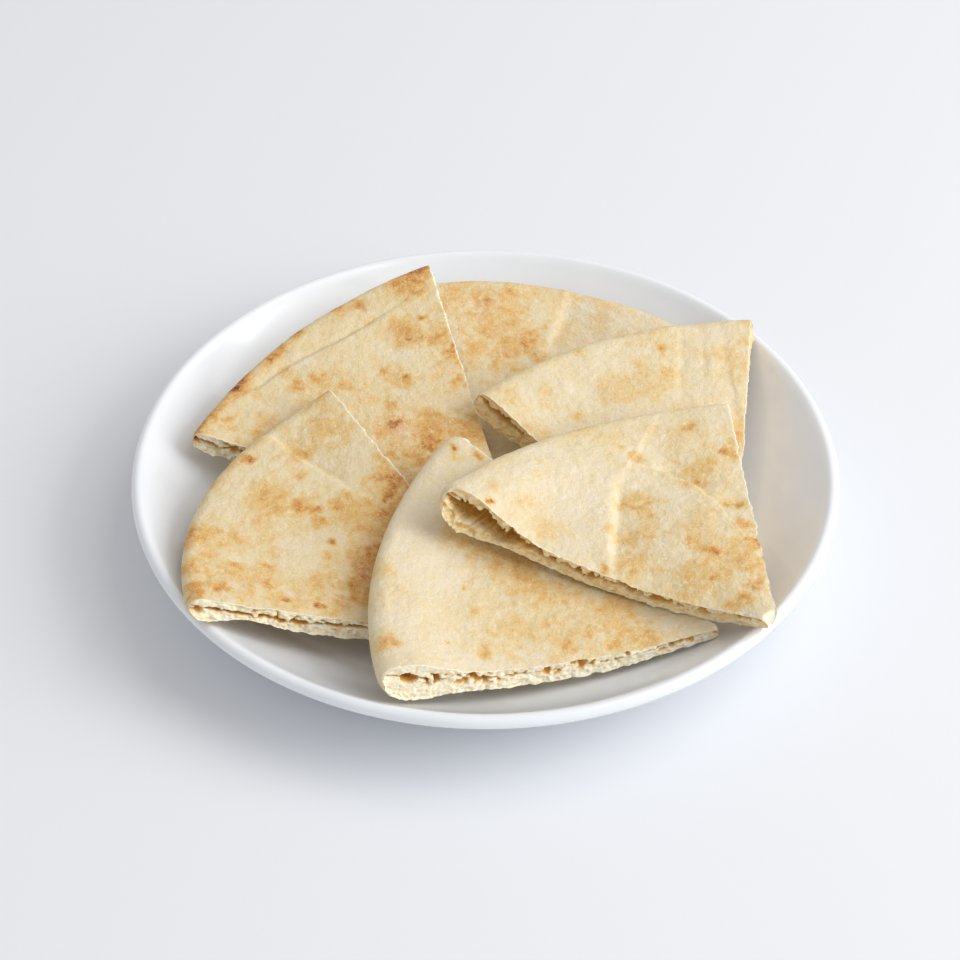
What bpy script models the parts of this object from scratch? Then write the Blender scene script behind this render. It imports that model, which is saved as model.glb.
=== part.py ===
"""Six wedges of pocket pita, piled on a white coupe plate.

Metres, +Z up.  The origin is the centre of the foot ring, on the table, and the plate's front is
towards -Y.  A pita is one baked sheet: a top layer that folds over at the round rim and comes back as
the bottom layer.  Each wedge is a sector of it, with its pocket open at both cut sides and at the tip.
"""
import math
from dataclasses import dataclass

import bmesh
import bpy
import numpy as np

MM = 0.001

# Plate, in millimetres.
RIM_RADIUS = 105.0
RIM_CENTRE_HEIGHT = 24.0
WALL_TOP_HEIGHT = 25.0
LIP_ROUND = 2.0
LIP_ARC = (110.0, -30.0)
WELL_RADIUS = 52.0
WELL_HEIGHT = 6.0
WALL_RISE_POWER = 2.3
PLATE_WALL = 4.0
FOOT_OUTER = 62.0
FOOT_INNER = 56.0
FOOT_CHAMFER = 1.0
BASE_RECESS = 1.5
PLATE_STEPS = 60
WALL_STEPS = 8
LIP_STEPS = 5

# Pita, in millimetres.  Distances along a wedge are fractions of its length from the tip.
PITA_RADIUS = 97.0
LAYER = 2.6
LAYER_SPREAD = 1.8
TIP_FRACTION = 0.03
PUFF_CENTRE = 0.89
PUFF_WIDTH = 0.10
LAYER_STEPS = 11
FOLD_STEPS = 6
ACROSS_STEPS = 8
RIM_CROWDING = 1.5
SLOPE_STEP = 0.001
RIDGE_STATIONS = (0.0, 0.5, 1.0)

PLATE_WHITE = (0.86, 0.87, 0.88, 1.0)
CRUST_CREAM = (0.78, 0.62, 0.38, 1.0)


@dataclass(frozen=True)
class Wedge:
    """One sixth of a pita where it rests.

    In plan it is a sector: it starts at its tip, heads along heading, and its two cut sides open to
    spread degrees.  Both sides are as long as length, or longer on the left and shorter on the right
    by skew where the cut missed the middle of the bread.  Left and right are as seen from the tip,
    looking at the round rim.  The rim bows out by rim_bulge beyond the line between the corners.

    Three lines from the tip, along the left side, the middle and the right side, climb from
    tip_height to the three rim_heights, and each sags by its own amount halfway.  A sag below zero
    dips and one above zero humps.
    """
    name: str
    tip: tuple
    heading: float
    spread: float
    tip_height: float
    rim_heights: tuple
    sags: tuple
    rim_bulge: float = 12.0
    length: float = PITA_RADIUS
    skew: float = 0.0
    puff: float = 0.3
    left_puff: float = 0.0
    right_puff: float = 0.0


WEDGES = (
    Wedge("pita_wedge_back", tip=(3, -7), heading=82, spread=62, tip_height=10,
          rim_heights=(26, 24, 21), sags=(-1, -1, -2), length=95),
    Wedge("pita_wedge_back_left", tip=(8, -12), heading=136, spread=63, tip_height=16,
          rim_heights=(25, 30, 36), sags=(-3, 0, 0), rim_bulge=10, length=98, skew=1),
    Wedge("pita_wedge_front_left", tip=(16, -62), heading=155, spread=59, tip_height=11,
          rim_heights=(32, 26, 33), sags=(-2, 1, 1), rim_bulge=19, length=102, skew=-4),
    Wedge("pita_wedge_front", tip=(62, -66), heading=167, spread=63, tip_height=20,
          rim_heights=(31, 30, 35), sags=(-7, -4, -3), skew=-2,
          puff=0.4, left_puff=2.4, right_puff=0.8),
    Wedge("pita_wedge_back_right", tip=(73, -38), heading=113, spread=60, tip_height=16,
          rim_heights=(33, 32, 31), sags=(-6, -1, -2), rim_bulge=9, skew=-1, left_puff=1.6),
    Wedge("pita_wedge_right_top", tip=(81, -74), heading=126, spread=64, tip_height=31,
          rim_heights=(45, 35, 31), sags=(-10, -1, 0), rim_bulge=11, length=98, skew=5,
          left_puff=3.2, right_puff=0.3),
)


def clear_scene():
    for obj in list(bpy.data.objects):
        bpy.data.objects.remove(obj, do_unlink=True)


def make_collection(name):
    collection = bpy.data.collections.new(name)
    bpy.context.scene.collection.children.link(collection)
    return collection


def make_material(name, color, roughness):
    material = bpy.data.materials.new(name)
    material.use_nodes = True
    shader = material.node_tree.nodes["Principled BSDF"]
    shader.inputs["Base Color"].default_value = color
    shader.inputs["Roughness"].default_value = roughness
    shader.inputs["Metallic"].default_value = 0.0
    return material


def add_object(mesh, name, material, collection):
    mesh.shade_smooth()
    mesh.materials.append(material)
    obj = bpy.data.objects.new(name, mesh)
    collection.objects.link(obj)
    return obj


# ---------------------------------------------------------------- plate

def wall_height(radius):
    """The well is level, and the wall outside it rises as a power of the distance from the well."""
    lip_radius = RIM_RADIUS - 2 * LIP_ROUND
    rise = WALL_TOP_HEIGHT - WELL_HEIGHT
    share = max(0.0, (radius - WELL_RADIUS) / (lip_radius - WELL_RADIUS))
    return WELL_HEIGHT + rise * share ** WALL_RISE_POWER


def underside_point(radius):
    """The inner wall's point at this radius, moved square to the wall by the plate's thickness."""
    step = 0.01
    slope = math.atan2(wall_height(radius + step) - wall_height(radius - step), 2 * step)
    return (radius + PLATE_WALL * math.sin(slope), wall_height(radius) - PLATE_WALL * math.cos(slope))


def plate_profile():
    """Half section: well, wall, round lip, outer wall, foot ring and base, from the axis to the axis."""
    wall_end = RIM_RADIUS - 2 * LIP_ROUND
    wall_radii = np.linspace(WELL_RADIUS, wall_end, WALL_STEPS + 1)
    profile = [(0.0, WELL_HEIGHT), (WELL_RADIUS / 2, WELL_HEIGHT)]
    profile += [(float(r), wall_height(r)) for r in wall_radii]
    lip_centre = (RIM_RADIUS - LIP_ROUND, RIM_CENTRE_HEIGHT)
    for angle in np.radians(np.linspace(*LIP_ARC, LIP_STEPS + 1)):
        profile.append((lip_centre[0] + LIP_ROUND * math.cos(angle),
                        lip_centre[1] + LIP_ROUND * math.sin(angle)))
    profile += [underside_point(float(r)) for r in wall_radii[:0:-1]]
    profile += [
        (FOOT_OUTER, BASE_RECESS + FOOT_CHAMFER),
        (FOOT_OUTER - FOOT_CHAMFER, 0.0),
        (FOOT_INNER + FOOT_CHAMFER, 0.0),
        (FOOT_INNER, BASE_RECESS),
        (FOOT_INNER / 2, BASE_RECESS),
        (0.0, BASE_RECESS),
    ]
    return profile


def build_plate(collection):
    profile = plate_profile()
    mesh = bpy.data.meshes.new("plate")
    points = [(r * MM, 0.0, z * MM) for r, z in profile]
    edges = [(i, i + 1) for i in range(len(points) - 1)]
    mesh.from_pydata(points, edges, [])
    plate = add_object(mesh, "plate", make_material("white_glaze", PLATE_WHITE, 0.12), collection)
    screw = plate.modifiers.new("turn", "SCREW")
    screw.axis = "Z"
    screw.steps = PLATE_STEPS
    screw.render_steps = PLATE_STEPS
    screw.use_merge_vertices = True
    screw.merge_threshold = 0.00001
    return plate


# ---------------------------------------------------------------- pita wedges

def through_points(stations, values, t):
    """The one polynomial that passes through each value at its station."""
    total = np.zeros_like(t)
    for i, value in enumerate(values):
        weight = np.ones_like(t)
        for j, station in enumerate(stations):
            if j != i:
                weight = weight * (t - station) / (stations[i] - station)
        total = total + weight * value
    return total


def cut_corner(wedge, side):
    """Plan position of the corner where a cut side meets the rim: side is 1 on the left, -1 on the right."""
    turn = math.radians(wedge.heading + side * wedge.spread / 2)
    reach = wedge.length + side * wedge.skew
    return np.array(wedge.tip) + reach * np.array((math.cos(turn), math.sin(turn)))


def middle_surface(wedge, u, v):
    """Point of the surface halfway between the layers: u runs tip to rim, v left to right side."""
    tip = np.array(wedge.tip, dtype=float)
    left = cut_corner(wedge, 1)
    chord = cut_corner(wedge, -1) - left
    outward = np.array((-chord[1], chord[0])) / np.hypot(*chord)
    arch = wedge.rim_bulge * 4 * v * (1 - v)
    rim = left + chord * v[:, None] + outward * arch[:, None]
    plan = tip + (rim - tip) * u[:, None]
    climbs = [wedge.tip_height + (rim_height - wedge.tip_height) * u + sag * 4 * u * (1 - u)
              for rim_height, sag in zip(wedge.rim_heights, wedge.sags)]
    height = through_points(RIDGE_STATIONS, climbs, v)
    return np.column_stack((plan, height))


def surface_normal(wedge, u, v):
    """Upward unit normal of the middle surface, from its slopes along u and v."""
    along = middle_surface(wedge, u + SLOPE_STEP, v) - middle_surface(wedge, u - SLOPE_STEP, v)
    across = middle_surface(wedge, u, v + SLOPE_STEP) - middle_surface(wedge, u, v - SLOPE_STEP)
    normal = np.cross(across, along)
    normal = normal / np.linalg.norm(normal, axis=1)[:, None]
    return normal * np.sign(normal[:, 2])[:, None]


def layer_spread(wedge, u, v):
    """Distance from the middle surface to each layer's middle: even, and puffed near the rim."""
    puff = wedge.puff + wedge.left_puff * (1 - v) ** 3 + wedge.right_puff * v ** 3
    return LAYER_SPREAD + puff * np.exp(-((u - PUFF_CENTRE) / PUFF_WIDTH) ** 2)


def folded_points(wedge, t, v):
    """Middle of the baked sheet: t runs out along the top layer, round the rim and back below.

    The layers stop one half-thickness short of the rim, where a half circle joins them.
    """
    layer_share = LAYER_STEPS / (2 * LAYER_STEPS + FOLD_STEPS)
    run = np.clip(np.minimum(t, 1 - t) / layer_share, 0.0, 1.0)
    turn = np.clip((t - layer_share) / (1 - 2 * layer_share), 0.0, 1.0) * math.pi
    rim_spread = layer_spread(wedge, np.ones_like(v), v)
    fold_centre = 1 - (rim_spread + LAYER / 2) / PITA_RADIUS
    u = TIP_FRACTION + (fold_centre - TIP_FRACTION) * (1 - (1 - run) ** RIM_CROWDING)
    spread = layer_spread(wedge, u, v) * np.cos(turn)
    u = u + rim_spread / PITA_RADIUS * np.sin(turn)
    return middle_surface(wedge, u, v) + surface_normal(wedge, u, v) * spread[:, None]


def build_wedge(wedge, material, collection):
    """A flat grid is wrapped onto the folded sheet, and Solidify gives the sheet its thickness."""
    mesh = bpy.data.meshes.new(wedge.name)
    grid = bmesh.new()
    bmesh.ops.create_grid(grid, x_segments=2 * LAYER_STEPS + FOLD_STEPS, y_segments=ACROSS_STEPS, size=0.5)
    grid.to_mesh(mesh)
    grid.free()
    flat = np.empty(len(mesh.vertices) * 3, dtype=np.float32)
    mesh.vertices.foreach_get("co", flat)
    flat = flat.reshape(-1, 3).astype(float) + 0.5
    points = folded_points(wedge, flat[:, 0], flat[:, 1]) * MM
    mesh.vertices.foreach_set("co", points.astype(np.float32).ravel())
    mesh.update()
    obj = add_object(mesh, wedge.name, material, collection)
    wall = obj.modifiers.new("layer", "SOLIDIFY")
    wall.thickness = LAYER * MM
    wall.offset = 0.0
    wall.use_even_offset = True
    return obj


def main():
    clear_scene()
    collection = make_collection("pita_bread")
    build_plate(collection)
    crust = make_material("pita_crust", CRUST_CREAM, 0.75)
    for wedge in WEDGES:
        build_wedge(wedge, crust, collection)


main()
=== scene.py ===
"""Looks of a plate of pita: six baked wedges on a white glazed coupe plate.

Each wedge is one closed surface.  A point inside a wedge has three coordinates: u runs from the tip to
the round rim, v from the left cut side to the right one, and w from the bottom crust (-1) to the top
crust (+1).  Every shape below is a formula in those three, in millimetres, and is turned into metres
when its mesh is made.

The sizes repeat those of the solid model, with two exceptions.  The front wedge is longer and narrower,
so that its tip is 4 mm further out, 0.8 mm higher and thinner, and it sags a little more.  The
right-top wedge swells near its tip.  The pocket is a groove along each cut side, as deep as one can
see into it.  The plate takes its rim from its solid's box, and each wedge is centred on its own.
"""

import logging
import math
from dataclasses import dataclass, field
from enum import Enum

import bpy
import numpy as np
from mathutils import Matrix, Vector


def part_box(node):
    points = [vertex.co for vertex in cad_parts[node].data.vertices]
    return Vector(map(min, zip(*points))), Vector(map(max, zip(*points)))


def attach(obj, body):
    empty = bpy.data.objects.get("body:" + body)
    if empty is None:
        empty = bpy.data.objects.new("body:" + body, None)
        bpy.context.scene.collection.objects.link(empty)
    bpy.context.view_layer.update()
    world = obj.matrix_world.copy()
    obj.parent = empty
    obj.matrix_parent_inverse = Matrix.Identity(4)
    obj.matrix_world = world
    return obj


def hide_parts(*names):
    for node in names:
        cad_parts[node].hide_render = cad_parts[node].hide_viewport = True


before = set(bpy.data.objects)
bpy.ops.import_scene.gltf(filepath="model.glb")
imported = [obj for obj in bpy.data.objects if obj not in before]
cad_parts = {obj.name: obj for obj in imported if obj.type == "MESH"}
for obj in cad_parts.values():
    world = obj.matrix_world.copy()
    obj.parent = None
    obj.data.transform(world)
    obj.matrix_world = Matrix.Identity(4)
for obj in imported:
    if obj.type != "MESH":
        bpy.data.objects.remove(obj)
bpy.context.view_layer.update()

LOG = logging.getLogger("pita_plate")
MM = 0.001
BODY = "root"
Pair = tuple[float, float]
Colour = tuple[float, float, float]


class Side(Enum):
    """The two cut sides of a wedge, as seen from its tip looking at the rim."""

    LEFT = 0
    RIGHT = 1


# ------------------------------------------------------------------ irregularity

class Grain(Enum):
    """Kinds of irregularity in the bread.

    Each is a shift in millimetres, which sets its noise apart from the others, the cell of its
    coarsest layer in millimetres, its number of layers, and the gain from one layer to the next.
    """

    TEAR = (0.0, 2.4, 3, 0.5)
    POCKET_LINE = (0.0, 9.0, 1, 0.5)
    POCKET_GAP = (0.0, 6.0, 3, 0.5)
    FRAY = (20.0, 0.9, 2, 0.5)
    CREASE_WOBBLE = (30.0, 7.0, 2, 0.5)
    SHREDS = (50.0, 1.9, 3, 0.5)
    POCKET_BED = (70.0, 1.3, 2, 0.5)
    BUBBLES = (90.0, 2.5, 1, 0.5)
    SMALL_BUBBLES = (95.0, 1.2, 1, 0.5)
    ROUGH_CRUMB = (120.0, 1.3, 3, 0.5)
    PITS = (140.0, 0.8, 1, 0.5)
    PORES = (150.0, 1.25, 1, 0.5)
    PATCH_EDGE_X = (200.0, 4.0, 3, 0.65)
    PATCH_EDGE_Y = (260.0, 4.0, 3, 0.65)
    MOTTLE = (310.0, 13.0, 4, 0.6)
    FINE_MOTTLE = (370.0, 4.5, 3, 0.6)
    RIM_MOTTLE = (420.0, 8.0, 3, 0.5)
    SCORCH = (470.0, 16.0, 3, 0.5)
    FLOUR_DUST = (520.0, 6.0, 4, 0.65)
    WAVES = (600.0, 24.0, 2, 0.5)
    BLISTERS = (640.0, 7.0, 3, 0.5)
    DIMPLES = (690.0, 1.9, 1, 0.5)
    SMALL_DIMPLES = (720.0, 1.1, 1, 0.5)


class Noise:
    """Smooth random values in space, the same on every run."""

    layer_shift: float = 17.3
    layered_height: float = 1.6

    def __init__(self, seed: int) -> None:
        """Keep the seed that tells one field from another."""
        self.seed = seed

    def _corner(self, x: np.ndarray, y: np.ndarray, z: np.ndarray) -> np.ndarray:
        """Mix three whole numbers and the seed into a value from -1 to 1."""
        mixed = (x * 374761393 + y * 668265263 + z * 1440662683 + self.seed * 1274126177) & 0xFFFFFFFF
        mixed = ((mixed ^ (mixed >> 13)) * 1274126177) & 0xFFFFFFFF
        mixed = ((mixed ^ (mixed >> 16)) * 2246822519) & 0xFFFFFFFF
        return ((mixed ^ (mixed >> 15)) & 0xFFFFFF) / 0x800000 - 1.0

    def value(self, points: np.ndarray, cell: float) -> np.ndarray:
        """One layer of noise.

        Each corner of a cubic lattice has a random value, and a point blends the eight corners round
        it with weights that ease in and out, so the field has no creases.

        Args:
            points: positions, last axis x, y, z, in millimetres.
            cell: lattice spacing in millimetres.

        Returns:
            Values from -1 to 1, one for each point.
        """
        scaled = points / cell
        base = np.floor(scaled)
        part = scaled - base
        ease = part * part * part * (part * (part * 6 - 15) + 10)
        low = base.astype(np.int64)
        total = np.zeros(points.shape[:-1])
        for dx in (0, 1):
            for dy in (0, 1):
                for dz in (0, 1):
                    weight = (
                        (ease[..., 0] if dx else 1 - ease[..., 0])
                        * (ease[..., 1] if dy else 1 - ease[..., 1])
                        * (ease[..., 2] if dz else 1 - ease[..., 2])
                    )
                    corner = self._corner(low[..., 0] + dx, low[..., 1] + dy, low[..., 2] + dz)
                    total = total + weight * corner
        return total

    def layers(self, points: np.ndarray, cell: float, count: int, gain: float = 0.5) -> np.ndarray:
        """Sum of noise layers, each half the cell and gain times the height of the one before.

        Args:
            points: positions in millimetres.
            cell: cell of the coarsest layer in millimetres.
            count: number of layers.
            gain: height of a layer as a share of the one before.

        Returns:
            Values of about -1 to 1.
        """
        total = np.zeros(points.shape[:-1])
        height, norm = 1.0, 0.0
        for layer in range(count):
            shift = self.layer_shift * layer
            total = total + height * self.value(points + shift, cell / 2 ** layer)
            norm += height
            height *= gain
        return total / norm * self.layered_height

    def grain(self, kind: Grain, points: np.ndarray) -> np.ndarray:
        """Noise of one kind: plain where it has a single layer, and a sum of layers otherwise."""
        shift, cell, count, gain = kind.value
        if count == 1:
            return self.value(points + shift, cell)
        return self.layers(points + shift, cell, count, gain)


def ease_between(low: float, high: float, x: np.ndarray) -> np.ndarray:
    """0 below low, 1 above high, and a smooth S between them."""
    t = np.clip((x - low) / (high - low), 0.0, 1.0)
    return t * t * (3 - 2 * t)


# ------------------------------------------------------------------ what shows on a wedge

@dataclass(frozen=True)
class Patch:
    """A soft patch on the top crust: its centre, its radius in millimetres, and its strength to 1."""

    u: float
    v: float
    size: float
    strength: float


class ToastAndShadow(Patch):
    """A browned patch, charred at a strength of 1; some such patches are painted shadow where one wedge
    shades another.
    """


class Flour(Patch):
    """A pale floury patch, white at a strength of 1."""


@dataclass(frozen=True)
class Crease:
    """A bend line in the crust.

    The crust on the left of the path stands higher by step, which fades away over reach, and a groove
    follows the path itself.  All sizes are in millimetres.
    """

    path: tuple[Pair, ...]
    step: float
    reach: float
    groove: float
    width: float = 1.2


@dataclass(frozen=True)
class Gape:
    """A stretch of a cut side where the pocket stands open, in millimetres and fractions of u."""

    side: Side
    u: float
    half_length: float
    gap: float
    depth: float


@dataclass(frozen=True)
class Pinch:
    """A stretch of a cut side whose underside is pressed up, by a share of the lower half.

    A share below zero makes the underside swell there instead.
    """

    side: Side
    u: float
    half_length: float
    share: float


@dataclass(frozen=True)
class WedgePlan:
    """Sizes of one wedge where it rests.

    In plan it is a sector that starts at its tip, heads along heading and opens to spread degrees.
    Its cut sides are as long as length, the left one longer by skew and the right one shorter.  The
    lines along the left side, the middle and the right side climb from tip_height to rim_heights,
    and dip by sags halfway.  All lengths are in millimetres.
    """

    node: str
    tip: Pair
    heading: float
    spread: float
    tip_height: float
    rim_heights: tuple[float, float, float]
    sags: tuple[float, float, float]
    rim_bulge: float = 12.0
    length: float = 97.0
    skew: float = 0.0
    puff: float = 0.3
    left_puff: float = 0.0
    right_puff: float = 0.0
    tip_puff: float = 0.0
    seed: int = 1
    pocket_gap: float = 0.3
    pores: float = 0.4
    # Painted warm shade: an even golden tint over the crumb of the cut sides, for wedges whose cut sides lie
    # in shade.
    crumb_warm_shade: float = 0.1
    tip_start: float = 0.016
    browning: float = 0.3
    rim_browning: float = 0.2
    toasts_and_shadows: tuple[ToastAndShadow, ...] = ()
    flours: tuple[Flour, ...] = ()
    creases: tuple[Crease, ...] = ()
    gapes: tuple[Gape, ...] = ()
    pinches: tuple[Pinch, ...] = ()
    left_round: float = 3.0
    right_round: float = 2.0


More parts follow.
